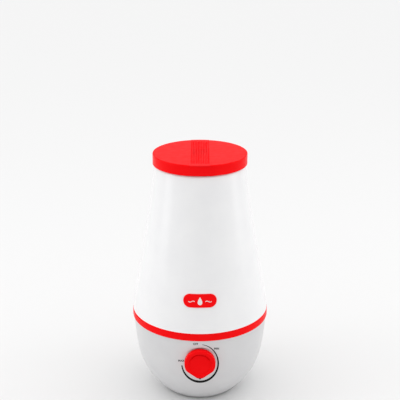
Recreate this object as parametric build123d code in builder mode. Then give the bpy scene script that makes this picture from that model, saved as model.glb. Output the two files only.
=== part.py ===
"""Cool mist humidifier: a round base, a lift-off water tank and a lid, piece by piece.

Millimetres. The origin is on the table under the middle of the base, +Z is up and the dial faces -Y.
"""
import os

from build123d import *

os.makedirs("parts", exist_ok=True)

# ---------------------------------------------------------------- driving dimensions
wall = 2.5                       # moulded plastic wall
running_gap = 0.05               # radial clearance of a turning fit
press_gap = 0.02                 # radial clearance of a press fit
loose_gap = 0.4                  # clearance between parts that only pass each other
pilot_radius = 1.3               # hole that a self-tapping screw cuts its thread in
thread_radius = 1.2              # shank of those screws
screw_head_radius = 2.6

foot_height = 3.0
base_foot_radius = 56.0
rim_radius = 101.0
rim_top = 130.0
rim_band = 10.0
tray_depth = 33.0                # rim to tray floor
belly_high = (94.7, 67.4)        # the two points that the base's side curve bends towards
belly_low = (95.5, 37.7)

tank_height = 223.5
tank_foot_radius = 100.6
tank_shoulder_radius = 65.9
tank_wall = 2.2
flare_low = (88.6, 75.0)         # the two points that the tank's side curve bends towards
flare_high = (73.5, 147.0)
chimney_radius = 18.0

lid_radius = 68.0
lid_thickness = 15.5
collar_radius = 27.6
collar_depth = 9.0
strip_width = 27.5               # grille strip across the lid

dial_height = 84.0               # knob axis above the table
dial_plane = 95.8                # flat seat of the knob, distance in front of the axis
knob_radius = 22.4
knob_front = 105.0

tower_centre = (-60.5, 31.0)     # air duct beside the float
float_centre = (-17.0, 33.0)
mist_centre = (14.0, 24.0)       # transducer
cap_centre = (49.5, 36.0)        # tank cap and the post below it
fan_centre = (-54.0, 32.0)
middle = (0.0, 0.0)

# ---------------------------------------------------------------- derived heights and planes
shell_top = rim_top - rim_band
tray_floor = rim_top - tray_depth
tray_under = tray_floor - wall
tank_top = rim_top + tank_height
lid_top = tank_top + lid_thickness
tank_section = Plane(origin=(0, 0, rim_top), x_dir=(1, 0, 0), z_dir=(0, -1, 0))
lid_section = Plane(origin=(0, 0, tank_top), x_dir=(1, 0, 0), z_dir=(0, -1, 0))
upright = (Align.CENTER, Align.CENTER, Align.MIN)


def front_plane(distance, height):
    """A plane facing the front, at a distance in front of the axis; local y is up."""
    return Plane(origin=(0, -distance, height), x_dir=(1, 0, 0), z_dir=(0, -1, 0))


def post(centre, radius, low, high, mode=Mode.ADD):
    """A vertical cylinder between two heights."""
    with Locations((*centre, low)):
        Cylinder(radius, high - low, align=upright, mode=mode)


def block(centre, size, low, high, mode=Mode.ADD):
    """An upright box between two heights."""
    with Locations((*centre, low)):
        Box(*size, high - low, align=upright, mode=mode)


def rounded_block(centre, size, corner, low, high, mode=Mode.ADD, turn=0):
    """An upright box with rounded corners between two heights, turned about its own axis."""
    with BuildSketch(Plane.XY.offset(low)) as outline:
        with Locations(centre):
            RectangleRounded(*size, corner, rotation=turn)
    extrude(outline.sketch, amount=high - low, mode=mode)


def ring(centre, outer, inner, low, high):
    """A vertical ring between two heights, as a shape of its own."""
    return Pos(*centre, low) * (
        Cylinder(outer, high - low, align=upright, mode=Mode.PRIVATE)
        - Cylinder(inner, high - low, align=upright, mode=Mode.PRIVATE)
    )


def spaced(centre, x_gap, y_gap):
    """The four corners of a hole pattern round a centre."""
    x, y = centre
    return [(x + i * x_gap / 2, y + j * y_gap / 2) for i in (-1, 1) for j in (-1, 1)]


def circle_of(radius, count, first=0.0):
    """Places spaced evenly on a circle round the middle."""
    return [tuple(Vector(radius, 0).rotate(Axis.Z, first + 360 * i / count))[:2] for i in range(count)]


def front_disc(radius, near, far, height, mode=Mode.ADD):
    """A cylinder along Y between two distances in front of the axis."""
    with Locations(front_plane(near, height)):
        Cylinder(radius, far - near, align=upright, mode=mode)


def bowl_section(inset, rise=0.0):
    """Half section of the bowl-shaped base, from the axis to its curved side."""
    side_top = (rim_radius - 1 - inset, shell_top + rise)
    side_foot = (base_foot_radius - inset, foot_height + inset)
    with BuildSketch(Plane.XZ) as section:
        with BuildLine():
            Line((0, foot_height + inset), side_foot)
            Bezier(
                side_foot, (belly_low[0] - inset, belly_low[1]),
                (belly_high[0] - inset, belly_high[1]), side_top,
            )
            Line(side_top, (0, side_top[1]))
            Line((0, side_top[1]), (0, foot_height + inset))
        make_face()
    return section.sketch


def flare_section(outer, inner, low, high):
    """Section between two offsets of the tank's flared side; positive offsets go inwards."""
    with BuildSketch(tank_section) as section:
        with BuildLine():
            foot = [(tank_foot_radius - inset, low) for inset in (outer, inner)]
            head = [(tank_shoulder_radius - inset, high) for inset in (outer, inner)]
            Bezier(
                foot[0], (flare_low[0] - outer, flare_low[1]),
                (flare_high[0] - outer, flare_high[1]), head[0],
            )
            Line(head[0], head[1])
            Bezier(
                head[1], (flare_high[0] - inner, flare_high[1]),
                (flare_low[0] - inner, flare_low[1]), foot[1],
            )
            Line(foot[1], foot[0])
        make_face()
    return section.sketch


def wire(*points):
    """An insulated wire along straight runs joined by tangent arcs."""
    with BuildPart() as piece:
        with BuildLine() as route:
            FilletPolyline(*points, radius=wire_bend)
        with BuildSketch(Plane(origin=route.line @ 0, z_dir=route.line % 0)):
            Circle(wire_radius)
        sweep(path=route.line)
    return piece


# ================================================================ base body
cover_radius = 53.0
cover_thickness = 3.0
lip_top = foot_height + 5.5      # ledge that closes the bowl's bottom round the cover
lip_radius = 44.0
boss_height = 9.5                # cover screw bosses above the ledge
cover_screw_circle = 48.5
cover_screws = circle_of(cover_screw_circle, 4, 45)
pocket_radius = 25.0
pocket_backing = 1.2             # wall left behind the knob's seat
pad_radius = 10.0                # flat pad that the potentiometer is fixed to
pad_plane = 92.0
bushing_radius = 3.5
jack_height = 50.0
jack_plane = 84.0                # flat seat of the power inlet, distance behind the axis
jack_radius = 5.5
jack_recess = 8.0
groove_outer = 99.2              # gasket groove in the top edge
groove_inner = 98.0
groove_depth = 1.0
cut_through = 10.0               # long enough to go through any wall

with BuildPart() as cavity:
    revolve(bowl_section(wall, rise=1), axis=Axis.Z)
    front_disc(
        pocket_radius + pocket_backing, dial_plane - pocket_backing, rim_radius, dial_height, Mode.SUBTRACT,
    )
    front_disc(pad_radius, pad_plane, rim_radius, dial_height, Mode.SUBTRACT)
    front_disc(jack_recess + wall, -rim_radius, wall - jack_plane, jack_height, Mode.SUBTRACT)

with BuildPart() as base_shell:
    revolve(bowl_section(0), axis=Axis.Z)
    add(cavity.part, mode=Mode.SUBTRACT)
    add(ring(middle, base_foot_radius - 0.5, lip_radius, foot_height, lip_top))
    for place in cover_screws:
        post(place, 4, lip_top, lip_top + boss_height)
    post(middle, lip_radius, foot_height, lip_top, Mode.SUBTRACT)
    post(middle, cover_radius + loose_gap, foot_height, foot_height + cover_thickness, Mode.SUBTRACT)
    for place in cover_screws:
        post(place, pilot_radius, foot_height, lip_top + boss_height - 1.5, Mode.SUBTRACT)
    front_disc(pocket_radius, dial_plane, rim_radius + 5, dial_height, Mode.SUBTRACT)
    front_disc(bushing_radius + running_gap, pad_plane - 1, rim_radius, dial_height, Mode.SUBTRACT)
    front_disc(jack_recess, -rim_radius, -jack_plane, jack_height, Mode.SUBTRACT)
    front_disc(jack_radius + running_gap, -rim_radius, wall + 2 - jack_plane, jack_height, Mode.SUBTRACT)
    add(ring(middle, groove_outer, groove_inner, shell_top - groove_depth, shell_top), mode=Mode.SUBTRACT)

with BuildPart() as tray_gasket:
    add(ring(middle, groove_outer, groove_inner, shell_top - groove_depth, shell_top))

# Red water tray: rim band, sloping wall, floor, air duct, float column and cap post.
rim_inner = 93.0
tray_floor_radius = 88.5
tray_outer = [(90.8, tray_under), (93.8, shell_top - 3), (96.9, shell_top - 3), (96.9, shell_top)]
rim_round = 1.2
floor_round = 5.0
tower_size = (16.5, 16.5)
tower_turn = 45                  # one corner of the duct faces the front
tower_top = rim_top + 16
tower_wall = 2.0
tower_corner = 3.0
tower_round = 1.2
window_size = (10.5, 13.0)       # air window in the tower's front right side
window_drop = 10.5               # tower top to the window's middle
column_radius = 18.7
column_top = tray_floor + 22.8
float_post_radius = 8.0
float_post_top = rim_top + 5
cap_post_radius = 10.0
cap_post_top = rim_top - 15.1
post_round = 1.2
well_outer = 26.6                # low ring on the floor round the cap
well_inner = 25.0
well_height = 4.0
pit_radius = 6.2                 # well above the transducer
pit_depth = 7.0
seal_radius = 10.2
seal_boss_radius = 13.0
seal_boss_depth = 10.5
fan_hole_spacing = 32.0
fan_holes = spaced(fan_centre, fan_hole_spacing, fan_hole_spacing)
fan_boss_height = 7.5
fan_size = 40.0

with BuildPart() as water_tray:
    with BuildSketch(Plane.XZ):
        with BuildLine():
            Polyline(
                (0, tray_under), *tray_outer, (rim_radius, shell_top), (rim_radius, rim_top),
                (rim_inner, rim_top), (tray_floor_radius, tray_floor), (0, tray_floor), close=True,
            )
        make_face()
    revolve(axis=Axis.Z)
    fillet(water_tray.edges().group_by(Axis.Z)[-1], radius=rim_round)
    fillet(water_tray.edges().filter_by_position(Axis.Z, tray_floor, tray_floor), radius=floor_round)
    rounded_block(tower_centre, tower_size, tower_corner, tray_under, tower_top, turn=tower_turn)
    fillet(water_tray.edges().group_by(Axis.Z)[-1], radius=tower_round)
    post(float_centre, column_radius, tray_under, column_top)
    fillet(water_tray.edges().filter_by_position(Axis.Z, column_top, column_top), radius=post_round)
    post(float_centre, float_post_radius, column_top, float_post_top)
    post(cap_centre, cap_post_radius, tray_floor, cap_post_top)
    fillet(water_tray.edges().filter_by_position(Axis.Z, cap_post_top, cap_post_top), radius=post_round)
    add(ring(cap_centre, well_outer, well_inner, tray_floor, tray_floor + well_height))
    post(mist_centre, seal_boss_radius, tray_under - seal_boss_depth, tray_under)
    for place in fan_holes:
        post(place, screw_head_radius, tray_under - fan_boss_height, tray_under)
    # openings: duct, hollow float column, hollow post, transducer pit and seal bore
    rounded_block(
        tower_centre, [side - 2 * tower_wall for side in tower_size], tower_corner - tower_wall,
        tray_under, tower_top - tower_wall, Mode.SUBTRACT, tower_turn,
    )
    with BuildSketch(Plane((*tower_centre, tower_top - window_drop), x_dir=(1, 1, 0), z_dir=(1, -1, 0))):
        RectangleRounded(*window_size, tower_wall)
    extrude(amount=tower_size[0], mode=Mode.SUBTRACT)
    post(float_centre, column_radius - wall, tray_under, column_top - wall, Mode.SUBTRACT)
    post(float_centre, float_post_radius - wall, tray_floor, float_post_top - wall, Mode.SUBTRACT)
    post(mist_centre, pit_radius, tray_floor - pit_depth, tray_floor, Mode.SUBTRACT)
    post(mist_centre, seal_radius, tray_under - seal_boss_depth, tray_floor - pit_depth, Mode.SUBTRACT)
    for place in fan_holes:
        post(place, pilot_radius, tray_under - fan_boss_height, tray_under - 1, Mode.SUBTRACT)

# Bottom cover with its vents, screw recesses, foot recesses and four board standoffs.
foot_radius = 6.5
foot_places = circle_of(44.0, 4)
foot_chamfer = 0.8
recess = 1.4                     # depth of the screw and foot recesses
cover_top = foot_height + cover_thickness
board_under = 16.0
board_thickness = 1.6
board_top = board_under + board_thickness
board_holes = spaced(middle, 52, 36)
standoff_radius = 3.0
standoff_hole = 1.0
standoff_hole_depth = 9.0
vent_size = (26.0, 3.0)
vent_pitch = (6.0, 32.0)
vent_count = (7, 2)

with BuildPart() as bottom_cover:
    post(middle, cover_radius, foot_height, cover_top)
    for place in board_holes:
        post(place, standoff_radius, cover_top, board_under)
        post(place, standoff_hole, board_under - standoff_hole_depth, board_under, Mode.SUBTRACT)
    with BuildSketch(Plane.XY.offset(foot_height)):
        with GridLocations(*vent_pitch, *vent_count):
            SlotOverall(*vent_size, rotation=90)
    extrude(amount=cover_thickness, mode=Mode.SUBTRACT)
    for place in cover_screws:
        post(place, thread_radius + 0.3, foot_height, cover_top, Mode.SUBTRACT)
        post(place, screw_head_radius + 0.6, foot_height, foot_height + recess, Mode.SUBTRACT)
    for place in foot_places:
        post(place, foot_radius + running_gap, foot_height, foot_height + recess, Mode.SUBTRACT)

with BuildPart() as rubber_feet:
    for place in foot_places:
        post(place, foot_radius, 0, foot_height + recess)
    chamfer(rubber_feet.edges().group_by(Axis.Z)[0], length=foot_chamfer)

with BuildPart() as bottom_screws:
    for place in cover_screws:
        post(place, screw_head_radius + 0.3, foot_height + 0.1, foot_height + recess)
        post(place, thread_radius, foot_height + recess, foot_height + recess + 11)

# Driver board and what is soldered to it.
board_size = (62.0, 46.0)
board_corner = 2.0
heatsink_height = 18.0
fin_count = 6
fin_pitch = 4.6
heatsink_back = (9.0, 8.0)       # middle of the heatsink's plate
plate_size = (24.0, 3.0)
fin_size = (1.0, 8.0)
transistor_size = (10.0, 4.4)
capacitor_places = [(-8.0, 12.0), (-8.0, 1.0)]
choke_centre = (-20.0, -4.0)
choke_height = 8.0
connector_size = (8.0, 6.0)
connector_height = 7.0
jack_socket = (-22.0, 12.0)
dial_socket = (16.0, -14.0)
mist_socket = (3.0, -14.0)
fan_socket = (-10.0, -14.0)

with BuildPart() as driver_board:
    rounded_block(middle, board_size, board_corner, board_under, board_top)
    for place in board_holes:
        post(place, standoff_radius - 1.4, board_under, board_top, Mode.SUBTRACT)

with BuildPart() as board_screws:
    for place in board_holes:
        post(place, screw_head_radius, board_top, board_top + recess)
        post(place, standoff_hole - running_gap, board_top - standoff_hole_depth, board_top)

with BuildPart() as heatsink:
    block(heatsink_back, plate_size, board_top, board_top + heatsink_height)
    for fin in range(fin_count):
        fin_x = heatsink_back[0] + (fin - (fin_count - 1) / 2) * fin_pitch
        fin_y = heatsink_back[1] + plate_size[1] / 2 + fin_size[1] / 2 - 1
        block((fin_x, fin_y), fin_size, board_top, board_top + heatsink_height)

with BuildPart() as power_transistor:
    transistor_y = heatsink_back[1] - plate_size[1] / 2 - transistor_size[1] / 2
    block((heatsink_back[0], transistor_y), transistor_size, board_top, board_top + 15)

with BuildPart() as capacitors:
    for place in capacitor_places:
        post(place, 4, board_top, board_top + 12)

with BuildPart() as choke_coil:
    post(choke_centre, 7, board_top, board_top + choke_height)
    post(choke_centre, 2.5, board_top, board_top + choke_height, Mode.SUBTRACT)
    fillet(choke_coil.edges().group_by(Axis.Z)[-1], radius=1.5)

with BuildPart() as board_connectors:
    for place in (jack_socket, dial_socket, mist_socket, fan_socket):
        block(place, connector_size, board_top, board_top + connector_height)

# Dial control: potentiometer body with its threaded bushing, and the nut in front of the wall.
bushing_front = dial_plane + 3
shaft_radius = 3.0
pot_radius = 8.5
pot_depth = 10.0
pot_back = pad_plane - pot_depth
pot_shell = 2.0
nut_radius = 6.0
nut_thickness = 2.2

with BuildPart() as potentiometer:
    front_disc(pot_radius, pot_back, pad_plane, dial_height)
    front_disc(bushing_radius, pad_plane, bushing_front, dial_height)
    front_disc(shaft_radius + running_gap, pot_back + pot_shell, bushing_front, dial_height, Mode.SUBTRACT)

with BuildPart() as potentiometer_nut:
    with BuildSketch(front_plane(dial_plane, dial_height)):
        RegularPolygon(nut_radius, 6)
        Circle(bushing_radius + running_gap, mode=Mode.SUBTRACT)
    extrude(amount=nut_thickness)

# Power inlet at the back: threaded barrel, centre pin and ring nut.
jack_inner = wall - jack_plane           # face of the wall's inside
jack_face = -jack_plane - 3
jack_body_depth = 12.0
jack_bore = 2.8
jack_bore_depth = 11.0
pin_radius = 1.05
pin_length = 10.0
pin_round = 0.5
jack_nut_radius = 7.4
jack_nut_thickness = 1.8

with BuildPart() as dc_jack:
    front_disc(jack_radius + 2, jack_inner, jack_inner + jack_body_depth, jack_height)
    front_disc(jack_radius, jack_face, jack_inner, jack_height)
    front_disc(jack_bore, jack_face, jack_face + jack_bore_depth, jack_height, Mode.SUBTRACT)

with BuildPart() as jack_pin:
    pin_root = jack_face + jack_bore_depth
    front_disc(pin_radius, pin_root - pin_length, pin_root, jack_height)
    fillet(jack_pin.edges().group_by(Axis.Y)[-1], radius=pin_round)

with BuildPart() as jack_nut:
    front_disc(jack_nut_radius, -jack_plane - jack_nut_thickness, -jack_plane, jack_height)
    front_disc(
        jack_radius + running_gap, -jack_plane - jack_nut_thickness, -jack_plane, jack_height, Mode.SUBTRACT,
    )

# Fan under the air duct, blowing up through a square shroud.
fan_bore = 19.0
fan_corner = 3.0
fan_depth = 15.0
shroud_low = tray_under - fan_boss_height
shroud_size = 42.0
shroud_wall = 1.7
fan_low = shroud_low - fan_depth
fan_plate = 2.0                  # spider that holds the motor
strut_width = 2.4
hub_radius = 10.5
hub_wall = 1.6
hub_low = fan_low + 2.6
hub_high = fan_low + 14
bearing_radius = 3.0
bearing_top = fan_low + 8
fan_shaft_radius = 1.0
coil_radius = 8.0
blade_count = 7
blade_circle = 13.85
blade_size = (7.9, 3.0)
blade_pitch = 32.0
blade_low = fan_low + 4
blade_high = fan_low + 13

with BuildPart() as fan_shroud:
    rounded_block(fan_centre, (shroud_size, shroud_size), 2, shroud_low, tray_under)
    inside = shroud_size - 2 * shroud_wall
    rounded_block(fan_centre, (inside, inside), 1, shroud_low, tray_under, Mode.SUBTRACT)

with BuildPart() as fan_housing:
    rounded_block(fan_centre, (fan_size, fan_size), fan_corner, fan_low, shroud_low)
    post(fan_centre, fan_bore, fan_low, shroud_low, Mode.SUBTRACT)
    for place in fan_holes:
        post(place, thread_radius + 0.5, fan_low, shroud_low, Mode.SUBTRACT)
    post(fan_centre, hub_radius, fan_low, fan_low + fan_plate)
    block(fan_centre, (2 * fan_bore + 1, strut_width), fan_low, fan_low + fan_plate)
    block(fan_centre, (strut_width, 2 * fan_bore + 1), fan_low, fan_low + fan_plate)
    post(fan_centre, bearing_radius, fan_low, bearing_top)
    post(fan_centre, fan_shaft_radius + running_gap, fan_low + 1, bearing_top, Mode.SUBTRACT)

with BuildPart() as fan_coil:
    add(ring(fan_centre, coil_radius, bearing_radius + running_gap, fan_low + fan_plate, bearing_top))

with BuildPart() as fan_impeller:
    post(fan_centre, hub_radius, hub_low, hub_high)
    post(fan_centre, hub_radius - hub_wall, hub_low, fan_low + 10.6, Mode.SUBTRACT)
    with BuildSketch(Plane.XY.offset(blade_low)):
        with Locations(fan_centre):
            with PolarLocations(blade_circle, blade_count):
                Rectangle(*blade_size, rotation=blade_pitch)
    extrude(amount=blade_high - blade_low)
    post(fan_centre, fan_shaft_radius + running_gap, fan_low + 10, blade_high, Mode.SUBTRACT)

with BuildPart() as fan_shaft:
    post(fan_centre, fan_shaft_radius, fan_low + 1.3, fan_low + 12.8)

with BuildPart() as fan_screws:
    for place in fan_holes:
        post(place, screw_head_radius, fan_low - 1.5, fan_low)
        post(place, thread_radius, fan_low, fan_low + 20.5)

# Ultrasonic transducer: steel disc in a rubber seal, held up by a clamp with two screws.
seal_top = tray_floor - pit_depth
clamp_top = tray_under - seal_boss_depth
clamp_thickness = 3.0
clamp_size = (46.0, 20.0)
clamp_screw_gap = 34.0
clamp_screw_places = [(mist_centre[0], mist_centre[1] + side * clamp_screw_gap / 2) for side in (-1, 1)]
disc_radius = 8.0
disc_thickness = 1.2
disc_low = seal_top - 3
seal_bore = 6.5
pillar_radius = 2.8

with BuildPart() as transducer_seal:
    add(ring(mist_centre, seal_radius - running_gap, seal_bore, clamp_top, seal_top))
    post(mist_centre, disc_radius + running_gap, disc_low, disc_low + disc_thickness, Mode.SUBTRACT)

with BuildPart() as transducer_disc:
    post(mist_centre, disc_radius, disc_low, disc_low + disc_thickness)

with BuildPart() as transducer_clamp:
    with BuildSketch(Plane.XY.offset(clamp_top - clamp_thickness)):
        with Locations(mist_centre):
            SlotOverall(*clamp_size, rotation=90)
            Circle(disc_radius / 2, mode=Mode.SUBTRACT)
        with Locations(*clamp_screw_places):
            Circle(thread_radius + 0.3, mode=Mode.SUBTRACT)
    extrude(amount=clamp_thickness)

with BuildPart() as clamp_pillars:
    for place in clamp_screw_places:
        add(ring(place, pillar_radius, pilot_radius, clamp_top, tray_under))

with BuildPart() as clamp_screws:
    for place in clamp_screw_places:
        post(place, screw_head_radius, clamp_top - clamp_thickness - 1.5, clamp_top - clamp_thickness)
        post(place, thread_radius, clamp_top - clamp_thickness, clamp_top + 9)

guide_foot = 6.2                 # tapered tube that gathers the mist
guide_mouth = 3.9
guide_wall = 1.2
guide_height = 30.0
guide_collar = 2.0

with BuildPart() as mist_guide:
    with BuildSketch(Plane(origin=(*mist_centre, tray_floor), x_dir=(1, 0, 0), z_dir=(0, -1, 0))):
        with BuildLine():
            Polyline(
                (guide_foot - guide_wall, 0), (guide_foot, 0), (guide_foot, guide_collar),
                (guide_mouth, guide_height), (guide_mouth - guide_wall, guide_height),
                (guide_foot - guide_wall, guide_collar), close=True,
            )
        make_face()
    revolve(axis=Axis(origin=(*mist_centre, 0), direction=(0, 0, 1)))

# Water level sensing: a reed switch inside the post and a cap that keeps the float on it.
retainer_radius = 11.0
retainer_low = rim_top + 2.3
retainer_top = rim_top + 7
retainer_round = 1.6
reed_radius = 2.0

with BuildPart() as reed_switch:
    post(float_centre, reed_radius, column_top - 8, column_top + 7)

with BuildPart() as float_retainer:
    post(float_centre, retainer_radius, retainer_low, retainer_top)
    fillet(float_retainer.edges().group_by(Axis.Z)[-1], radius=retainer_round)
    post(float_centre, float_post_radius + running_gap, retainer_low, float_post_top, Mode.SUBTRACT)

# Wires from the inlet, the dial, the transducer and the fan to their connectors.
wire_radius = 1.0
wire_bend = 6.0
wire_end = board_top + connector_height

jack_wire = wire((0, 69.4, 50), (0, 58, 50), (-22, 40, 38), (-22, 12, 34), (*jack_socket, wire_end))
dial_wire = wire((0, -82, 84), (0, -70, 84), (8, -45, 52), (16, -14, 44), (*dial_socket, wire_end))
transducer_wire = wire(
    (*mist_centre, 86.4), (*mist_centre, 70), (9, 5, 46), (3, -14, 40), (*mist_socket, wire_end),
)
fan_wire = wire((-54, 12, 76), (-54, 4, 76), (-36, -12, 50), (-10, -14, 40), (*fan_socket, wire_end))

# ================================================================ float
float_radius = 20.0
float_low = column_top
float_top = float_low + 8
leg_low = tray_floor + 1.5
outer_leg = (-40.2, 26.0)
outer_leg_size = (7.6, 9.0)
outer_arm = (-37.5, 27.0)
outer_arm_size = (13.0, 9.0)
inner_leg = (4.2, 30.0)
inner_leg_size = (3.8, 9.0)
inner_arm = (1.3, 30.0)
inner_arm_size = (6.0, 9.0)
magnet_outer = 14.0
magnet_inner = 11.0
magnet_depth = 2.0
slot_centre = (float_centre[0], float_centre[1] + float_radius)
slot_size = (14.0, 26.0)         # the float is open at the back, narrower than its post

with BuildPart() as float_ring:
    post(float_centre, float_radius, float_low, float_top)
    block(outer_leg, outer_leg_size, leg_low, float_low + 4)
    block(outer_arm, outer_arm_size, float_low, float_low + 4)
    block(inner_leg, inner_leg_size, leg_low, float_top)
    block(inner_arm, inner_arm_size, float_low, float_top)
    post(float_centre, float_post_radius + loose_gap, float_low, float_top, Mode.SUBTRACT)
    magnet_seat = ring(float_centre, magnet_outer, magnet_inner, float_top - magnet_depth, float_top)
    add(magnet_seat, mode=Mode.SUBTRACT)
    block(slot_centre, slot_size, float_low, float_top, Mode.SUBTRACT)

with BuildPart() as float_magnet:
    add(ring(
        float_centre, magnet_outer - running_gap, magnet_inner + running_gap,
        float_top - magnet_depth, float_top,
    ))
    block(slot_centre, slot_size, float_low, float_top, Mode.SUBTRACT)

# ================================================================ dial knob
knob_back = dial_plane + 0.5
knob_round = 1.4
hollow_front = bushing_front + 0.6
hollow_radius = 8.0              # clears the nut
dish_radius = 16.8
dish_depth = 1.8
tip_half = 3.4                   # blunt tip of the pick shape
tip_reach = 22.6
tip_angle = 28.0                 # below the horizontal, where the sides leave the circle
pointer_reach = 24.2
pointer_width = 2.6
shaft_grip = 5.4                 # length of shaft inside the knob

with BuildPart() as control_knob:
    with BuildSketch(front_plane(knob_back, dial_height)):
        with BuildLine() as outline:
            shoulder = PolarLine((0, 0), knob_radius, angle=-tip_angle, mode=Mode.PRIVATE) @ 1
            tangent = Vector(0, 1).rotate(Axis.Z, -tip_angle)
            JernArc(shoulder, tangent, knob_radius, 180 + 2 * tip_angle)
            Line(outline.line @ 1, (-tip_half, -tip_reach))
            Line(outline.line @ 1, (tip_half, -tip_reach))
            Line(outline.line @ 1, shoulder)
        make_face()
    extrude(amount=knob_front - knob_back)
    fillet(control_knob.faces().sort_by(Axis.Y)[0].edges(), radius=knob_round)
    front_disc(dish_radius, knob_front - dish_depth, knob_front, dial_height, Mode.SUBTRACT)
    front_disc(hollow_radius, knob_back, hollow_front, dial_height, Mode.SUBTRACT)
    front_disc(shaft_radius + press_gap, knob_back, knob_back + shaft_grip + 0.1, dial_height, Mode.SUBTRACT)

with BuildPart() as knob_pointer:
    with BuildSketch(front_plane(knob_back, dial_height)):
        with Locations((0, -(tip_reach + pointer_reach) / 2)):
            Rectangle(pointer_width, pointer_reach - tip_reach)
    extrude(amount=6)

with BuildPart() as control_shaft:
    front_disc(shaft_radius, pot_back + pot_shell + 0.3, knob_back + shaft_grip, dial_height)

# ================================================================ tank body
plate_edge = 1.2
shoulder_round = 4.0
collar_seat = 30.4               # outside of the recess that the lid's collar drops into
seat_start = 61.6
recess_radius = collar_radius + 0.6
recess_depth = 10.1
chimney_fit = 0.1
chamber_low = -27.0
chamber_top = 22.5
chamber_centre = (-26.0, 17.5)
chamber_size = (100.0, 81.0)
chamber_corner = 20.0
step_edge = 15.0                 # right of this the chamber's wall is shorter
step_height = 10.0
neck_radius = 19.4
neck_wall = 2.0
neck_depth = 6.0
plate_thickness = 3.0
plate_radius = 97.6
locating_ring = (96.9, 94.4)
seal_ring_outer = 96.6
socket_height = 7.5              # socket that holds the mist tube
socket_wall = 2.3

with BuildPart() as tank_shell:
    side_top = tank_height - shoulder_round
    under_top = tank_height - tank_wall
    recess_floor = tank_height - recess_depth
    revolve(flare_section(0, tank_wall, plate_edge, side_top), axis=Axis.Z)
    with BuildSketch(tank_section):
        with BuildLine():
            Polyline(
                (tank_shoulder_radius, side_top), (tank_shoulder_radius - tank_wall, side_top),
                (seat_start, under_top), (collar_seat, under_top),
                (collar_seat, recess_floor - tank_wall),
                (chimney_radius + chimney_fit, recess_floor - tank_wall),
                (chimney_radius + chimney_fit, recess_floor), (recess_radius, recess_floor),
                (recess_radius, tank_height), (tank_shoulder_radius - shoulder_round, tank_height),
            )
            TangentArc(
                (tank_shoulder_radius - shoulder_round, tank_height), (tank_shoulder_radius, side_top),
                tangent=(1, 0),
            )
        make_face()
    revolve(axis=Axis.Z)

# Red tank floor: a thin edge under the shell, the mist chamber, and the neck for the cap.
with BuildPart() as tank_floor:
    skirt_low = rim_top + chamber_low
    skirt_top = rim_top + chamber_top
    post(middle, tank_foot_radius, rim_top, rim_top + plate_edge)
    post(middle, plate_radius, rim_top, rim_top + plate_thickness)
    add(ring(middle, *locating_ring, rim_top + plate_thickness, rim_top + 2 * plate_thickness))
    rounded_block(chamber_centre, chamber_size, chamber_corner, skirt_low, skirt_top)
    post(middle, chimney_radius + socket_wall, skirt_top, skirt_top + socket_height)
    post(cap_centre, neck_radius, rim_top - neck_depth, rim_top)
    post(cap_centre, neck_radius - neck_wall, rim_top - neck_depth, rim_top + plate_thickness, Mode.SUBTRACT)
    rounded_block(
        chamber_centre, [side - 2 * wall for side in chamber_size], chamber_corner - wall,
        skirt_low, skirt_top - wall, Mode.SUBTRACT,
    )
    post(middle, chimney_radius - 2, skirt_top - wall, skirt_top + socket_height, Mode.SUBTRACT)
    post(middle, chimney_radius + 0.15, skirt_top, skirt_top + socket_height, Mode.SUBTRACT)
    step_centre = (step_edge + chamber_corner / 2, chamber_centre[1])
    block(step_centre, (chamber_corner, 90), skirt_low, skirt_low + step_height, Mode.SUBTRACT)

with BuildPart() as tank_seal:
    seal_low = rim_top + 2 * plate_thickness
    add(ring(middle, seal_ring_outer, locating_ring[1], seal_low, seal_low + 2))

with BuildPart() as mist_tube:
    add(ring(middle, chimney_radius, chimney_radius - 2, rim_top + chamber_top, tank_top - recess_depth))

with BuildPart() as tube_seal:
    seal_high = tank_top - recess_depth - tank_wall
    add(ring(middle, chimney_radius + 3, chimney_radius + chimney_fit, seal_high - 2, seal_high))

badge_height = 49.0              # above the rim
badge_size = (47.0, 19.0)
badge_thickness = 1.2

with BuildPart() as badge:
    with BuildSketch(front_plane(80, rim_top + badge_height)):
        SlotOverall(*badge_size)
    extrude(amount=25)
    skin = flare_section(-badge_thickness, -running_gap, plate_edge, tank_height - shoulder_round)
    add(revolve(skin, axis=Axis.Z, mode=Mode.PRIVATE), mode=Mode.INTERSECT)

# ================================================================ tank cap and its valve
cap_radius = 22.3
cap_low = rim_top - 30.5
cap_high = rim_top - 0.5
cap_band = 9.0                   # smooth band below the ribs
cap_chamfer = 1.0
rib_count = 24
rib_size = (1.2, 2.0)
seat_top = rim_top - 7.5
seat_low = rim_top - 9.5
seat_hole = 7.6
spoke_size = (7.8, 1.6)
guide_radius = 5.4               # boss that the valve stem slides in
stem_radius = 2.5
valve_travel = 5.0
button_top = rim_top - 13.5
button_radius = 6.0
button_thickness = 1.5
stem_head = 4.5
valve_seal_radius = 9.5
valve_seal_thickness = 1.5

with BuildPart() as tank_cap:
    add(ring(cap_centre, cap_radius, neck_radius + loose_gap, cap_low, cap_high))
    chamfer(tank_cap.edges().group_by(Axis.Z)[0].sort_by(SortBy.LENGTH)[-1], length=cap_chamfer)
    with BuildSketch(Plane.XY.offset(cap_low + cap_band)):
        with Locations(cap_centre):
            with PolarLocations(cap_radius, rib_count):
                Rectangle(*rib_size)
    extrude(amount=cap_high - 1.5 - cap_low - cap_band)
    add(ring(cap_centre, neck_radius + 1, seat_hole, seat_low, seat_top))
    with BuildSketch(Plane.XY.offset(seat_low)):
        with Locations(cap_centre):
            with PolarLocations(spoke_size[0] / 2, 3):
                Rectangle(*spoke_size)
            Circle(guide_radius)
            Circle(stem_radius + running_gap, mode=Mode.SUBTRACT)
    extrude(amount=seat_top - seat_low)

with BuildPart() as cap_seal:
    add(ring(cap_centre, neck_radius, neck_radius - neck_wall - 0.4, seat_top, rim_top - neck_depth))

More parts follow.
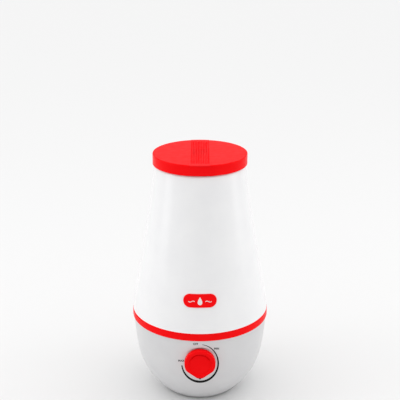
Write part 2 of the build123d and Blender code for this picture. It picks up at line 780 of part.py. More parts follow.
with BuildPart() as valve_stem:
    post(cap_centre, button_radius, button_top - button_thickness, button_top)
    post(cap_centre, stem_radius, button_top, rim_top)
    post(cap_centre, stem_head, rim_top - 1, rim_top + 0.6)

with BuildPart() as valve_seal:
    valve_low = seat_top + valve_travel
    add(ring(
        cap_centre, valve_seal_radius, stem_radius + press_gap, valve_low, valve_low + valve_seal_thickness,
    ))

spring_wire = 0.4
spring_radius = 4.7
spring_turns = 2.5
spring_low = button_top + spring_wire
spring_rise = seat_low - button_top - 2 * spring_wire

with BuildPart() as valve_spring:
    with BuildLine() as coil:
        Helix(
            pitch=spring_rise / spring_turns, height=spring_rise, radius=spring_radius,
            center=(*cap_centre, spring_low),
        )
    with BuildSketch(Plane(origin=coil.line @ 0, z_dir=coil.line % 0)):
        Circle(spring_wire)
    sweep(path=coil.line, is_frenet=True)

# ================================================================ lid
collar_bore = 24.4
collar_lip = 0.8                 # lead-in and seal groove depth
flange_radius = 33.0
flange_top = 2.0
upstand_outer = 28.6             # ring that the lid turns on
upstand_inner = 26.4
upstand_top = 7.5
groove_low = -5.6
groove_high = -3.6
collar_seal_size = (1.0, 1.9)

with BuildPart() as lid_collar:
    with BuildSketch(lid_section):
        with BuildLine():
            Polyline(
                (collar_bore, -collar_depth), (collar_radius - collar_lip, -collar_depth),
                (collar_radius, collar_lip - collar_depth), (collar_radius, groove_low),
                (collar_radius - collar_lip, groove_low), (collar_radius - collar_lip, groove_high),
                (collar_radius, groove_high), (collar_radius, 0), (flange_radius, 0),
                (flange_radius, flange_top), (upstand_outer, flange_top), (upstand_outer, upstand_top),
                (upstand_inner, upstand_top), (upstand_inner, 0), (collar_bore, -flange_top), close=True,
            )
        make_face()
    revolve(axis=Axis.Z)

with BuildPart() as collar_seal:
    with BuildSketch(lid_section):
        with Locations((collar_radius - 0.25, (groove_low + groove_high) / 2)):
            Rectangle(*collar_seal_size)
    revolve(axis=Axis.Z)

lid_low = 0.3
lid_round = 1.2
lid_under = lid_thickness - wall
ring_inner = 29.0                # ring under the lid that turns round the collar's upstand
ring_outer = 31.2
ring_low = flange_top + 0.1
strip_depth = 1.5
strip_gap = 0.1
outlet_size = (24.0, 36.0)       # mist outlet under the grille
outlet_corner = 4.0
grille_pitch = 3.0
grille_hole = 1.8
grille_count = (8, 12)

with BuildPart() as lid:
    with BuildSketch(lid_section):
        with BuildLine():
            Polyline(
                (0, lid_thickness), (lid_radius, lid_thickness), (lid_radius, lid_low),
                (lid_radius - wall, lid_low), (lid_radius - wall, lid_under), (ring_outer, lid_under),
                (ring_outer, ring_low), (ring_inner, ring_low), (ring_inner, lid_under), (0, lid_under),
                close=True,
            )
        make_face()
    revolve(axis=Axis.Z)
    fillet(lid.edges().group_by(Axis.Z)[-1], radius=lid_round)
    channel = strip_width + 2 * strip_gap
    block(middle, (channel, 2 * lid_radius + 2), lid_top - strip_depth, lid_top, Mode.SUBTRACT)
    rounded_block(middle, outlet_size, outlet_corner, lid_top - wall, lid_top, Mode.SUBTRACT)
    with BuildSketch(Plane.XY.offset(tank_top)):
        with Locations((0, -lid_radius)):
            Rectangle(channel, cut_through)
        Circle(lid_radius - strip_depth, mode=Mode.SUBTRACT)
    extrude(amount=lid_thickness, mode=Mode.SUBTRACT)

with BuildPart() as lid_grille:
    strip_thickness = strip_depth - running_gap
    with BuildSketch(Plane.XY.offset(lid_top)):
        Circle(lid_radius)
        Rectangle(strip_width, 3 * lid_radius, mode=Mode.INTERSECT)
        with GridLocations(grille_pitch, grille_pitch, *grille_count):
            Rectangle(grille_hole, grille_hole, mode=Mode.SUBTRACT)
    extrude(amount=-strip_thickness)
    with BuildSketch(Plane.XY.offset(tank_top + lid_low)):
        Circle(lid_radius)
        Circle(lid_radius - strip_thickness, mode=Mode.SUBTRACT)
        with Locations((0, -lid_radius)):
            Rectangle(strip_width, 30, mode=Mode.INTERSECT)
    extrude(amount=lid_thickness - lid_low)

# ================================================================ write one STEP file per piece
pieces = {
    "base_shell": base_shell, "water_tray": water_tray, "tray_gasket": tray_gasket,
    "bottom_cover": bottom_cover, "rubber_feet": rubber_feet, "bottom_screws": bottom_screws,
    "driver_board": driver_board, "board_screws": board_screws, "heatsink": heatsink,
    "power_transistor": power_transistor, "capacitors": capacitors, "choke_coil": choke_coil,
    "board_connectors": board_connectors, "potentiometer": potentiometer,
    "potentiometer_nut": potentiometer_nut, "dc_jack": dc_jack, "jack_pin": jack_pin,
    "jack_nut": jack_nut, "fan_shroud": fan_shroud, "fan_housing": fan_housing,
    "fan_coil": fan_coil, "fan_screws": fan_screws, "fan_impeller": fan_impeller,
    "fan_shaft": fan_shaft, "transducer_seal": transducer_seal,
    "transducer_disc": transducer_disc, "transducer_clamp": transducer_clamp,
    "clamp_pillars": clamp_pillars, "clamp_screws": clamp_screws, "mist_guide": mist_guide,
    "reed_switch": reed_switch, "float_retainer": float_retainer, "jack_wire": jack_wire,
    "dial_wire": dial_wire, "transducer_wire": transducer_wire, "fan_wire": fan_wire,
    "float_ring": float_ring, "float_magnet": float_magnet, "control_knob": control_knob,
    "knob_pointer": knob_pointer, "control_shaft": control_shaft, "tank_shell": tank_shell,
    "tank_floor": tank_floor, "tank_seal": tank_seal, "mist_tube": mist_tube,
    "tube_seal": tube_seal, "badge": badge, "tank_cap": tank_cap, "cap_seal": cap_seal,
    "valve_stem": valve_stem, "valve_seal": valve_seal, "valve_spring": valve_spring,
    "lid_collar": lid_collar, "collar_seal": collar_seal, "lid": lid, "lid_grille": lid_grille,
}
for name, piece in pieces.items():
    piece.part.label = name
    export_step(piece.part, f"parts/{name}.step")
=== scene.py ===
"""Looks for the cool mist humidifier: camera, studio, materials and detailed pieces over the CAD frame."""

import math

import bmesh
import bpy
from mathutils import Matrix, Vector


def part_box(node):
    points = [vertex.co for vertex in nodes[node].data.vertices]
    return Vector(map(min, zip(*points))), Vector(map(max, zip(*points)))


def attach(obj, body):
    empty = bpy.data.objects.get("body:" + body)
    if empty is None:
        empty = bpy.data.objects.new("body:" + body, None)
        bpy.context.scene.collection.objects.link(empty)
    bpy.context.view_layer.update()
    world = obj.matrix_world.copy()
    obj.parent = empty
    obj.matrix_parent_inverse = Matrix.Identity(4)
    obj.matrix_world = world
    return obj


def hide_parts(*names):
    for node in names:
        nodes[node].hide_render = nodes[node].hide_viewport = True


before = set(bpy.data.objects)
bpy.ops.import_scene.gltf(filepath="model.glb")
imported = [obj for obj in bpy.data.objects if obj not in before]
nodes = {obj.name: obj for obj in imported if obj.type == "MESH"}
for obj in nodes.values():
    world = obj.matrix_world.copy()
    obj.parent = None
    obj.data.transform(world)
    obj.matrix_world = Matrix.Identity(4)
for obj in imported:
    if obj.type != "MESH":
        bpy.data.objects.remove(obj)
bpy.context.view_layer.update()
scene = bpy.context.scene

# ------------------------------------------------------------------ camera
CAMERA_DISTANCE = 1.25
CAMERA_HEIGHT = 0.726
CAMERA_PITCH = 18.96
LENS = 81.7
SENSOR = 36
FAR_CLIP = 60

camera_data = bpy.data.cameras.new("camera")
camera_data.lens = LENS
camera_data.sensor_width = SENSOR
camera_data.clip_end = FAR_CLIP
camera = bpy.data.objects.new("camera", camera_data)
camera.location = (0, -CAMERA_DISTANCE, CAMERA_HEIGHT)
camera.rotation_euler = (math.radians(90 - CAMERA_PITCH), 0, 0)
scene.collection.objects.link(camera)
scene.camera = camera
scene.view_settings.view_transform = "Standard"

# ------------------------------------------------------------------ materials
COLOUR_DETAIL = 4.0
GLOSS_DETAIL = 5.0
GLOSS_TO_COLOUR = 4               # the gloss varies this many times finer than the colour
GRAIN_DETAIL = 2.0
GRAIN_HEIGHT = 0.0005
NOISE_LOW, NOISE_HIGH = 0.3, 0.7
COAT_ROUGHNESS = 0.08
SUBSURFACE_RADIUS = (0.004, 0.003, 0.003)


def new_material(name):
    """A node material with its tree and its Principled shader."""
    material = bpy.data.materials.new(f"{name}_finish")
    material.use_nodes = True
    return material, material.node_tree, material.node_tree.nodes["Principled BSDF"]


def noise_node(tree, scale, detail, stretch=(1, 1, 1)):
    """Noise in object space; stretch squeezes it along an axis for brushed or drawn surfaces."""
    place = tree.nodes.new("ShaderNodeTexCoord")
    mapping = tree.nodes.new("ShaderNodeMapping")
    mapping.inputs["Scale"].default_value = stretch
    noise = tree.nodes.new("ShaderNodeTexNoise")
    noise.inputs["Scale"].default_value = scale
    noise.inputs["Detail"].default_value = detail
    tree.links.new(place.outputs["Object"], mapping.inputs["Vector"])
    tree.links.new(mapping.outputs["Vector"], noise.inputs["Vector"])
    return noise


def range_node(tree, source, low, high):
    """Maps a noise value onto a range."""
    node = tree.nodes.new("ShaderNodeMapRange")
    node.inputs["From Min"].default_value = NOISE_LOW
    node.inputs["From Max"].default_value = NOISE_HIGH
    node.inputs["To Min"].default_value = low
    node.inputs["To Max"].default_value = high
    tree.links.new(source, node.inputs["Value"])
    return node


def surface(
    name, colour, second, roughness, rough_span, grain, grain_depth,
    cloud=30, stretch=(1, 1, 1), metallic=0.0, specular=0.5, ior=1.5, coat=0.0, transmission=0.0,
    subsurface=0.0,
):
    """Plastic, rubber or metal: clouded colour, uneven gloss and a fine moulded or brushed grain."""
    material, tree, shader = new_material(name)
    clouds = noise_node(tree, cloud, COLOUR_DETAIL)
    share = range_node(tree, clouds.outputs["Fac"], 0.0, 1.0)
    blend = tree.nodes.new("ShaderNodeMix")
    blend.data_type = "RGBA"
    blend.inputs["A"].default_value = (*colour, 1)
    blend.inputs["B"].default_value = (*second, 1)
    tree.links.new(share.outputs["Result"], blend.inputs["Factor"])
    tree.links.new(blend.outputs["Result"], shader.inputs["Base Color"])
    patches = noise_node(tree, cloud * GLOSS_TO_COLOUR, GLOSS_DETAIL, stretch)
    gloss = range_node(tree, patches.outputs["Fac"], roughness - rough_span, roughness + rough_span)
    tree.links.new(gloss.outputs["Result"], shader.inputs["Roughness"])
    fine = noise_node(tree, grain, GRAIN_DETAIL, stretch)
    bump = tree.nodes.new("ShaderNodeBump")
    bump.inputs["Strength"].default_value = grain_depth
    bump.inputs["Distance"].default_value = GRAIN_HEIGHT
    tree.links.new(fine.outputs["Fac"], bump.inputs["Height"])
    tree.links.new(bump.outputs["Normal"], shader.inputs["Normal"])
    shader.inputs["Metallic"].default_value = metallic
    shader.inputs["Specular IOR Level"].default_value = specular
    shader.inputs["IOR"].default_value = ior
    shader.inputs["Coat Weight"].default_value = coat
    shader.inputs["Coat Roughness"].default_value = COAT_ROUGHNESS
    shader.inputs["Transmission Weight"].default_value = transmission
    shader.inputs["Subsurface Weight"].default_value = subsurface
    shader.inputs["Subsurface Radius"].default_value = SUBSURFACE_RADIUS
    return material


# colour, the colour it clouds into, roughness and its spread, grain scale and depth, anything else
RECIPES = {
    # white_shell is the tank's white plastic greyed down, painted shade for the base's downward-facing
    # front
    "white_shell": (
        (0.66, 0.66, 0.665), (0.63, 0.63, 0.64), 0.34, 0.04, 1100, 0.015, {"coat": 0.15},
    ),
    "tank_white": (
        (0.86, 0.86, 0.865), (0.83, 0.83, 0.84), 0.22, 0.02, 500, 0.010, {"coat": 0.3},
    ),
    "red_plastic": (
        (0.95, 0.004, 0.006), (0.91, 0.002, 0.004), 0.34, 0.04, 900, 0.02,
        {"specular": 0.1, "ior": 1.3},
    ),
    "red_grille": (
        (0.96, 0.012, 0.016), (0.92, 0.008, 0.012), 0.45, 0.05, 1500, 0.04,
        {"specular": 0.1, "ior": 1.3},
    ),
    "clear_cap": (
        (0.96, 0.97, 0.97), (0.92, 0.93, 0.93), 0.35, 0.05, 1200, 0.05, {"transmission": 0.35},
    ),
    "black_foam": (
        (0.010, 0.010, 0.011), (0.022, 0.020, 0.020), 0.72, 0.08, 2400, 0.35, {"specular": 0.3},
    ),
    # dark_guide is the red plastic darkened almost to black, painted shade for the shadow beside the float
    # column
    "dark_guide": (
        (0.055, 0.006, 0.007), (0.035, 0.004, 0.005), 0.42, 0.06, 1500, 0.05, {"specular": 0.3},
    ),
    "rubber": (
        (0.022, 0.022, 0.022), (0.034, 0.033, 0.032), 0.68, 0.08, 2200, 0.2, {"specular": 0.3},
    ),
    "clear_rubber": (
        (0.78, 0.78, 0.75), (0.72, 0.72, 0.69), 0.45, 0.06, 1500, 0.06, {"subsurface": 0.3},
    ),
    "steel": (
        (0.62, 0.62, 0.63), (0.50, 0.50, 0.52), 0.37, 0.07, 2600, 0.10, {"metallic": 1.0},
    ),
    "brass": (
        (0.70, 0.52, 0.24), (0.60, 0.42, 0.17), 0.36, 0.06, 2200, 0.08, {"metallic": 1.0},
    ),
    "aluminium": (
        (0.70, 0.71, 0.73), (0.60, 0.61, 0.63), 0.36, 0.08, 1800, 0.15,
        {"stretch": (1, 1, 0.05), "metallic": 1.0},
    ),
    "board": ((0.012, 0.13, 0.045), (0.008, 0.09, 0.030), 0.38, 0.06, 1500, 0.10, {}),
    "black_plastic": ((0.016, 0.016, 0.017), (0.025, 0.025, 0.026), 0.45, 0.08, 1800, 0.08, {}),
    "grey_plastic": ((0.52, 0.53, 0.54), (0.46, 0.47, 0.48), 0.46, 0.06, 1600, 0.10, {}),
    "copper": (
        (0.55, 0.20, 0.07), (0.42, 0.13, 0.04), 0.38, 0.08, 2600, 0.3,
        {"stretch": (1, 1, 4), "metallic": 0.85},
    ),
    "magnet": (
        (0.060, 0.060, 0.065), (0.035, 0.035, 0.040), 0.44, 0.08, 1800, 0.12, {"metallic": 0.6},
    ),
    "print_ink": (
        (0.002, 0.002, 0.002), (0.004, 0.004, 0.004), 0.6, 0.05, 3000, 0.02, {"specular": 0.15},
    ),
    "print_white": ((0.80, 0.78, 0.77), (0.74, 0.72, 0.71), 0.50, 0.05, 3000, 0.05, {}),
}
FINISH = {name: surface(name, *recipe[:-1], **recipe[-1]) for name, recipe in RECIPES.items()}

for node in nodes.values():
    slot_name = node.data.materials[0].name.split(".")[0]
    node.data.materials.clear()
    node.data.materials.append(FINISH[slot_name])

# ------------------------------------------------------------------ mesh tools
MERGE_DISTANCE = 1e-6
HALVINGS = 40
SLOPE_ANGLE = 35                  # edges sharper than this stay sharp


def finish_piece(name, mesh, body, finish, smooth=SLOPE_ANGLE, replaced=()):
    """Links a mesh as a piece: its material, its body, and the CAD nodes that it stands for."""
    mesh.materials.append(FINISH[finish])
    mesh.shade_smooth()
    mesh.set_sharp_from_angle(angle=math.radians(smooth))
    piece = bpy.data.objects.new(name, mesh)
    scene.collection.objects.link(piece)
    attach(piece, body)
    if replaced:
        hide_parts(*replaced)
    return piece


def mesh_from(name, points, faces):
    """A mesh with outward normals, in metres."""
    mesh = bpy.data.meshes.new(name)
    mesh.from_pydata(points, [], faces)
    work = bmesh.new()
    work.from_mesh(mesh)
    bmesh.ops.remove_doubles(work, verts=work.verts, dist=MERGE_DISTANCE)
    bmesh.ops.recalc_face_normals(work, faces=work.faces)
    work.to_mesh(mesh)
    work.free()
    return mesh


def grid_faces(rows, columns, wrap_rows=False):
    """Quads of a grid of points held row by row; each row closes on itself."""
    faces = []
    for row in range(rows if wrap_rows else rows - 1):
        for column in range(columns):
            after_row = (row + 1) % rows
            after = (column + 1) % columns
            faces.append((
                row * columns + column, row * columns + after,
                after_row * columns + after, after_row * columns + column,
            ))
    return faces


def end_faces(rows, columns):
    """The two faces that close such a grid at its first and last row."""
    last = (rows - 1) * columns
    return [tuple(range(columns)), tuple(last + i for i in range(columns))]


def quarter_turn(steps):
    """Angles from 0 to a right angle."""
    return [math.pi / 2 * step / steps for step in range(steps + 1)]


def bezier(points, share):
    """A point on a cubic Bezier curve in (radius, height)."""
    a, b, c, d = (Vector(p) for p in points)
    left = 1 - share
    return (
        a * left ** 3 + b * 3 * share * left ** 2 + c * 3 * share ** 2 * left + d * share ** 3
    )


def halved(low, high, too_low):
    """The value between low and high where too_low stops being true."""
    for _ in range(HALVINGS):
        middle = (low + high) / 2
        if too_low(middle):
            low = middle
        else:
            high = middle
    return low


# The base's outline as the CAD draws it: rim end first, then down to the foot.
shell_low, shell_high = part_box("base_shell")
BOWL = [
    (shell_high.x, shell_high.z), (0.0947, 0.0674), (0.0955, 0.0377), (0.056, shell_low.z),
]

# The tank's outline, from the edge of its red floor up to the shoulder.
tank_low, tank_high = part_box("tank_shell")
FLARE = [
    (tank_high.x, tank_low.z), (0.0886, 0.205), (0.0735, 0.277), (0.0659, 0.3495),
]


def bowl_radius(height):
    """Outer radius of the base at a height."""
    return bezier(BOWL, halved(0.0, 1.0, lambda share: bezier(BOWL, share).y > height)).x


def tank_radius(height):
    """Outer radius of the tank at a height."""
    return bezier(FLARE, halved(0.0, 1.0, lambda share: bezier(FLARE, share).y < height)).x


def on_bowl(x, z, proud=0.0):
    """The point of the base's front at x and height z, lifted off the surface."""
    radius = bowl_radius(z) + proud
    return Vector((x, -math.sqrt(radius ** 2 - x ** 2), z))


# ------------------------------------------------------------------ dial print
PRINT_CENTRE = 0.0822             # height of the printed ring's centre
PRINT_SIGHT = math.radians(29.3)  # the print looks round from this far above the horizon
PRINT_SPAN = (0.04, 0.1195)       # the print lies between these heights
PRINT_PROUD = 0.00012
RING_RADIUS = 0.0262
RING_START = 6
RING_END = 264
RING_STEPS = 130
# clockwise angle from the top and half width of the tapering ring there
RING_WIDTHS = [
    (6, 0.0002), (45, 0.0007), (90, 0.0011), (150, 0.0015), (190, 0.0016), (240, 0.0011), (264, 0.0008),
]
LABEL_SIZE = 0.0038
LABEL_SPACING = 1.12
LABEL_BOLD = 0.00013              # how far the letters grow past their outlines
LABELS = {"OFF": (-0.0063, 0.0268), "MIN": (0.0236, 0.0205), "MAX": (-0.0270, 0.0036)}


def print_point(across, up, proud):
    """The point of the base's front that is seen this far across and up from the ring's centre."""
    sine, cosine = math.sin(PRINT_SIGHT), math.cos(PRINT_SIGHT)
    middle = on_bowl(0, PRINT_CENTRE)
    goal = middle.z * cosine + middle.y * sine + up
    height = halved(*PRINT_SPAN, lambda z: z * cosine + on_bowl(across, z).y * sine < goal)
    return on_bowl(across, height, proud)


def ring_half_width(angle):
    """Half width of the printed ring at a clockwise angle."""
    for (start, first), (end, second) in zip(RING_WIDTHS, RING_WIDTHS[1:]):
        if angle <= end:
            return first + (second - first) * (angle - start) / (end - start)
    return RING_WIDTHS[-1][1]


def build_dial_ring():
    """The tapering ring printed round the knob, as a thin layer on the bowl."""
    points = []
    for step in range(RING_STEPS + 1):
        angle = RING_START + (RING_END - RING_START) * step / RING_STEPS
        half = ring_half_width(angle)
        turn = math.radians(angle)
        for radius, proud in (
            (RING_RADIUS - half, 0.0), (RING_RADIUS - half, PRINT_PROUD),
            (RING_RADIUS + half, PRINT_PROUD), (RING_RADIUS + half, 0.0),
        ):
            points.append(print_point(radius * math.sin(turn), radius * math.cos(turn), proud))
    rows, columns = RING_STEPS + 1, 4
    return mesh_from("dial_ring", points, grid_faces(rows, columns) + end_faces(rows, columns))


def build_label(word, across, up):
    """A word of the dial's scale as a thin printed layer that follows the bowl."""
    curve = bpy.data.curves.new(word, "FONT")
    curve.body = word
    curve.size = LABEL_SIZE
    curve.align_x = "CENTER"
    curve.align_y = "CENTER"
    curve.space_character = LABEL_SPACING
    curve.bevel_depth = LABEL_BOLD
    curve.bevel_resolution = 0
    carrier = bpy.data.objects.new(word, curve)
    scene.collection.objects.link(carrier)
    bpy.context.view_layer.update()
    shaped = carrier.evaluated_get(bpy.context.evaluated_depsgraph_get())
    mesh = bpy.data.meshes.new_from_object(shaped)
    bpy.data.objects.remove(carrier)
    for vertex in mesh.vertices:
        u, v, w = vertex.co
        vertex.co = print_point(across + u, up + v, (w / LABEL_BOLD + 1) * PRINT_PROUD / 2)
    mesh.materials.clear()
    return mesh


finish_piece("dial_ring", build_dial_ring(), "base", "print_ink")
for word, (across, up) in LABELS.items():
    label = build_label(word, across, up)
    finish_piece(f"dial_{word.lower()}", label, "base", "print_ink")

# ------------------------------------------------------------------ knob
knob_low, knob_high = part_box("control_knob")
DIAL_HEIGHT = 0.084
KNOB_RADIUS = 0.0224
KNOB_BACK = knob_high.y
KNOB_FRONT = knob_low.y
KNOB_ROUND = 0.0016
KNOB_ROUND_STEPS = 8
KNOB_DRAFT = 0.0003
KNOB_STEPS = 180
KNOB_SMOOTH = 40
BACK_RINGS = (0.0005, 0.0080)     # radii of the rings that fill the back
BACK_EDGE = ((0.0, 0.0008), (0.0002, 0.0003), (0.0007, 0.0))  # steps forward and insets round it
FACE_SHARE = 0.45                 # a ring this far from the knob's edge to the dish's
DISH_RADIUS = 0.0168
DISH_DEPTH = 0.0027
DISH_SLOPE = 0.0012               # the dish is deeper by this much at its top and shallower below
DISH_EDGE = 0.0005
DISH_ROUND = 0.0009
DISH_STEPS = 5
DISH_DRAFT = 0.0002
DISH_CROWN = 0.0003
DISH_RINGS = (0.82, 0.7, 0.5, 0.25, 0.03)
FINE_STEP = 0.0001
TIP = (0.0034, 0.0226)
TIP_LEAVE = math.radians(-28)     # where the straight flanks leave the circle
TIP_LIMIT = 1.04
CORNER_WINDOW = 5                 # steps over which the outline's corners are rounded off
GROOVE_DEPTH = 0.0022             # extra depth of the crescent under the dish's top wall
GROOVE_WIDTH = 0.0040
GROOVE_FULL = math.radians(48)    # half angle over which the crescent has its full depth
GROOVE_END = math.radians(80)
POINTER_HEIGHT = 0.0021
POINTER_HALF = (0.0012, 0.0021)   # half widths at its lower and upper edge
POINTER_PROUD = 0.0002
POINTER_ROUND = 0.0003
POINTER_SEGMENTS = 3


def pick_radius(angle):
    """Radius of the pick-shaped outline at an angle; the blunt tip points down."""
    x, z = math.cos(angle), math.sin(angle)
    if z >= math.sin(TIP_LEAVE):
        return KNOB_RADIUS
    start = Vector((KNOB_RADIUS * math.cos(TIP_LEAVE), KNOB_RADIUS * math.sin(TIP_LEAVE)))
    end = Vector((TIP[0], -TIP[1]))
    run = end - start
    flank = (start.x * run.y - start.y * run.x) / (abs(x) * run.y - z * run.x)
    return min(flank, TIP[1] / -z, KNOB_RADIUS * TIP_LIMIT)


def softened_radius(step):
    """The outline with its corners rounded off."""
    total = weights = 0
    for away in range(-CORNER_WINDOW, CORNER_WINDOW + 1):
        weight = CORNER_WINDOW + 1 - abs(away)
        total += weight * pick_radius(2 * math.pi * (step + away) / KNOB_STEPS)
        weights += weight
    return total / weights


def crescent(angle):
    """How much of the crescent groove there is at an angle: 1 at the top, fading out at both sides."""
    away = abs(math.remainder(angle - math.pi / 2, 2 * math.pi))
    share = min(1.0, max(0.0, (GROOVE_END - away) / (GROOVE_END - GROOVE_FULL)))
    return share * share * (3 - 2 * share)


def build_knob():
    """Dished knob: rounded front edge, pick-shaped side, soft dish floor."""
    outline = [softened_radius(step) for step in range(KNOB_STEPS)]
    points = []

    def row(y, inset=None, circle=None, share=0.0, sink=0.0, groove=0.0, shrink=0.0):
        """One ring of points: inset from the outline, on a circle, or a share of the way between."""
        for step, outer in enumerate(outline):
            angle = 2 * math.pi * step / KNOB_STEPS
            radius = circle if inset is None else outer - inset
            if share:
                radius += (circle - radius) * share
            radius -= shrink * crescent(angle)
            up = radius * math.sin(angle)
            deep = y + sink * up / DISH_RADIUS + groove * crescent(angle)
            points.append(Vector((radius * math.cos(angle), deep, DIAL_HEIGHT + up)))

    for radius in BACK_RINGS:
        row(KNOB_BACK, circle=radius)
    for forward, inset in BACK_EDGE:
        row(KNOB_BACK - forward, inset=inset)
    row((KNOB_BACK + KNOB_FRONT) / 2, inset=KNOB_DRAFT / 2)
    for turn in quarter_turn(KNOB_ROUND_STEPS):
        row(
            KNOB_FRONT + KNOB_ROUND * (1 - math.sin(turn)),
            inset=KNOB_DRAFT + KNOB_ROUND * (1 - math.cos(turn)),
        )
    brim = DISH_RADIUS + DISH_EDGE
    row(KNOB_FRONT, inset=KNOB_DRAFT + KNOB_ROUND, circle=brim, share=FACE_SHARE)
    row(KNOB_FRONT, circle=brim + DISH_DRAFT)
    for turn in quarter_turn(DISH_STEPS):
        row(
            KNOB_FRONT + DISH_EDGE * (1 - math.cos(turn)),
            circle=DISH_RADIUS + DISH_EDGE * (1 - math.sin(turn)),
        )
    floor_y = KNOB_FRONT + DISH_DEPTH
    for turn in quarter_turn(DISH_STEPS):
        row(
            floor_y - DISH_ROUND * (1 - math.sin(turn)),
            circle=DISH_RADIUS - DISH_DRAFT - DISH_ROUND * (1 - math.cos(turn)),
            sink=DISH_SLOPE, groove=GROOVE_DEPTH,
        )
    inner = DISH_RADIUS - DISH_DRAFT - DISH_ROUND - FINE_STEP
    half = GROOVE_WIDTH / 2
    row(floor_y, circle=inner, sink=DISH_SLOPE, groove=GROOVE_DEPTH, shrink=half)
    row(floor_y, circle=inner - FINE_STEP, sink=DISH_SLOPE, shrink=half + FINE_STEP)
    for share in DISH_RINGS:
        row(floor_y - DISH_CROWN * (1 - share), circle=DISH_RADIUS * share, sink=DISH_SLOPE)
    rows = len(points) // KNOB_STEPS
    faces = grid_faces(rows, KNOB_STEPS) + end_faces(rows, KNOB_STEPS)
    return mesh_from("dial_knob", points, faces)


def build_pointer():
    """Black mark that caps the knob's tip, with rounded edges."""
    lower = DIAL_HEIGHT - TIP[1] - POINTER_PROUD
    work = bmesh.new()
    corners = []
    for y in (KNOB_FRONT, KNOB_BACK - POINTER_HEIGHT):
        for sign in (-1, 1):
            for half, z in zip(POINTER_HALF, (lower, lower + POINTER_HEIGHT)):
                corners.append(work.verts.new((sign * half, y, z)))
    for face in ((0, 1, 3, 2), (4, 6, 7, 5), (0, 2, 6, 4), (1, 5, 7, 3), (0, 4, 5, 1), (2, 3, 7, 6)):
        work.faces.new([corners[i] for i in face])
    bmesh.ops.recalc_face_normals(work, faces=work.faces)
    bmesh.ops.bevel(
        work, geom=work.edges[:], offset=POINTER_ROUND, segments=POINTER_SEGMENTS, profile=0.5,
        affect="EDGES",
    )
    mesh = bpy.data.meshes.new("pointer_mark")
    work.to_mesh(mesh)
    work.free()
    return mesh


finish_piece(
    "dial_knob", build_knob(), "knob", "red_plastic", smooth=KNOB_SMOOTH, replaced=["control_knob"],
)
finish_piece(
    "pointer_mark", build_pointer(), "knob", "print_ink", replaced=["knob_pointer"],
)

# ------------------------------------------------------------------ badge
badge_low, badge_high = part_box("badge")
BADGE_MIDDLE = (badge_low.z + badge_high.z) / 2
BADGE_PROUD = 0.0012
BADGE_HALF = (0.0225, 0.0085)     # half length and half height
DROP_HEIGHT = 0.0115
DROP_RADIUS = 0.0036
DROP_FULLNESS = 1.25
DROP_POINT = 1.3
DROP_STEPS = 64
SUNK = -0.0001                    # a raised shape starts this far inside the badge
RELIEF = 0.00035
RELIEF_LEVELS = [(1.0, SUNK), (1.0, RELIEF * 0.6), (0.94, RELIEF), (0.5, RELIEF), (0.02, RELIEF)]
BAND_PROFILE = [
    (-1.0, SUNK), (-1.0, 0.00012), (-0.7, 0.00024), (0.7, 0.00024), (1.0, 0.00012), (1.0, SUNK),
]
RIPPLE_START = 0.0075
RIPPLE_LENGTH = 0.009
RIPPLE_RISE = 0.0008
RIPPLE_LOWER = 0.001
RIPPLE_STEPS = 24
RIPPLE_HALF = 0.00045
RIM_HALF = 0.0004
RIM_STEPS = 24


def on_badge(x, up, proud):
    """A point over the badge's curved face."""
    z = BADGE_MIDDLE + up
    radius = tank_radius(z) + BADGE_PROUD + proud
    return Vector((x, -math.sqrt(radius ** 2 - x ** 2), z))


def drop_outline():
    """A water drop: round below, drawn to a point above."""
    outline = []
    for step in range(DROP_STEPS):
        turn = 2 * math.pi * step / DROP_STEPS
        reach = DROP_FULLNESS * DROP_RADIUS * math.sin(turn) * math.sin(turn / 2) ** DROP_POINT
        outline.append((reach, DROP_HEIGHT * math.cos(turn) / 2))
    return outline


def build_relief(name, outline):
    """A raised flat shape on the badge from a closed outline."""
    columns = len(outline)
    middle = [sum(place[axis] for place in outline) / columns for axis in (0, 1)]
    points = []
    for share, proud in RELIEF_LEVELS:
        for place in outline:
            x, up = (centre + (value - centre) * share for value, centre in zip(place, middle))
            points.append(on_badge(x, up, proud))
    rows = len(RELIEF_LEVELS)
    return mesh_from(name, points, grid_faces(rows, columns) + end_faces(rows, columns))


def build_band(name, path, half_width):
    """A raised line on the badge along a path, with rounded shoulders."""
    closed = path[0] == path[-1]
    line = path[:-1] if closed else path
    points = []
    for index, place in enumerate(line):
        before = line[index - 1] if (closed or index) else place
        after = line[(index + 1) % len(line)] if (closed or index + 1 < len(line)) else place
        along = Vector((after[0] - before[0], after[1] - before[1])).normalized()
        side = Vector((-along.y, along.x)) * half_width
        for share, proud in BAND_PROFILE:
            points.append(on_badge(place[0] + side.x * share, place[1] + side.y * share, proud))
    rows, columns = len(line), len(BAND_PROFILE)
    faces = grid_faces(rows, columns, wrap_rows=closed)
    if not closed:
        faces += end_faces(rows, columns)
    return mesh_from(name, points, faces)


def wave(side):
    """A short ripple beside the drop."""
    path = []
    for step in range(RIPPLE_STEPS + 1):
        share = step / RIPPLE_STEPS
        up = RIPPLE_RISE * math.sin(2 * math.pi * share) - RIPPLE_LOWER
        path.append((side * (RIPPLE_START + RIPPLE_LENGTH * share), up))
    return path


def stadium(half_length, half_height):
    """A closed outline of a slot with round ends."""
    outline = []
    reach = half_length - half_height
    for end in (1, -1):
        for step in range(RIM_STEPS + 1):
            turn = math.pi * step / RIM_STEPS - math.pi / 2
            x, up = reach + half_height * math.cos(turn), half_height * math.sin(turn)
            outline.append((end * x, end * up))
    return outline + outline[:1]


drop = build_relief("badge_drop", drop_outline())
finish_piece("badge_drop", drop, "tank", "print_white")
for ripple, side in (("badge_ripple_left", -1), ("badge_ripple_right", 1)):
    band = build_band(ripple, wave(side), RIPPLE_HALF)
    finish_piece(ripple, band, "tank", "print_white")
badge_rim = build_band("badge_rim", stadium(*BADGE_HALF), RIM_HALF)
finish_piece("badge_rim", badge_rim, "tank", "red_plastic")

